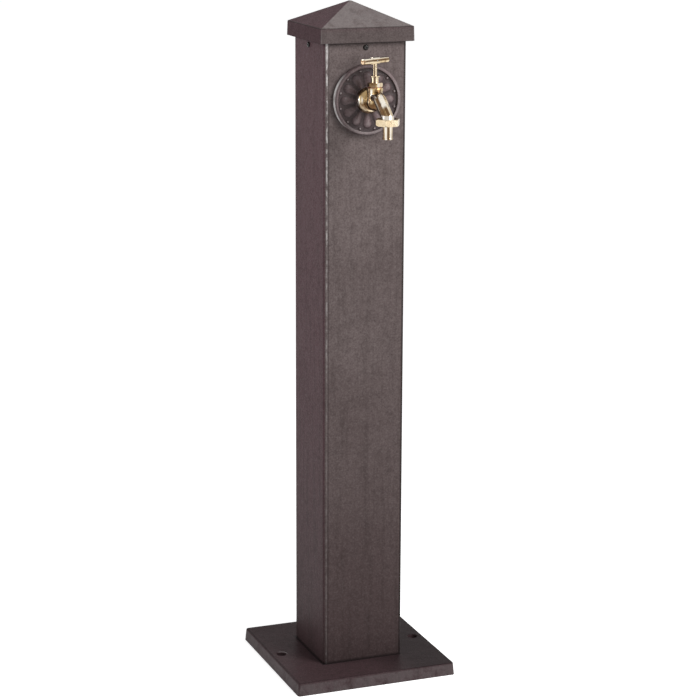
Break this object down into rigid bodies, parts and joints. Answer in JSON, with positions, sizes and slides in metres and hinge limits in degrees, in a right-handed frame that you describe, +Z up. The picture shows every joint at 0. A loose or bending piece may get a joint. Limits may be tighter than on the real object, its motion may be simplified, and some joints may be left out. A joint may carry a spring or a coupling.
{
  "type": "garden standpipe",
  "caption": "Square-post garden standpipe on a ground plate, with a pyramid cap, a flower rosette and a brass tee-handled bib tap with a hose union.",
  "frame": {"origin": "centre of the ground plate's underside", "axes": "+Z up along the post, -Y towards the tap's outlet, +X to the right seen from the front"},
  "size_m": [0.2456, 0.2823, 0.9817],
  "materials": {
    "dark_coat": "fine textured coating",
    "brass": "polished",
    "steel": "zinc plated",
    "rubber": "matt",
    "fibre": "matt"
  },
  "bodies": {
    "standpipe": {"base_plate": "dark_coat", "base_screws": "steel", "foot_plate": "steel", "post": "dark_coat", "cap": "dark_coat", "cap_screws": "dark_coat", "rosette": "dark_coat", "wall_flange": "brass", "tap_body": "brass", "shank_washer": "steel", "lock_nut": "brass", "bonnet": "brass", "bonnet_gasket": "fibre", "gland_packing": "fibre", "gland_nut": "brass", "inlet_elbow": "brass", "riser_pipe": "steel", "inlet_socket": "steel"},
    "jumper": {"jumper_valve": "brass", "tap_washer": "rubber", "washer_nut": "brass"},
    "spindle_and_handle": {"spindle": "brass", "tee_handle": "brass", "handle_pin": "steel"},
    "hose_tail": {"hose_tail": "brass", "union_washer": "rubber"},
    "union_nut": {"union_nut": "brass"}
  },
  "joints": [
    {"name": "valve_lift", "type": "slide", "parent": "standpipe", "child": "jumper", "axis": [0, 0, 1], "range_m": [0, 0.00401]},
    {"name": "handle_turn", "type": "hinge", "parent": "jumper", "child": "spindle_and_handle", "pos_m": [0, -0.0965, 0.907], "axis": [0, 0, 1], "range_deg": [0, 720]},
    {"name": "tail_drop", "type": "slide", "parent": "standpipe", "child": "hose_tail", "axis": [0, 0, -1], "range_m": [0, 0.00409]},
    {"name": "union_turn", "type": "hinge", "parent": "hose_tail", "child": "union_nut", "pos_m": [0, -0.1445, 0.829], "axis": [0, 0, -1], "range_deg": [0, 810]}
  ],
  "couplings": [
    {"joint": "valve_lift", "follows": "handle_turn", "m_per_rad": 0.00031831},
    {"joint": "tail_drop", "follows": "union_turn", "m_per_rad": 0.00028871}
  ]
}
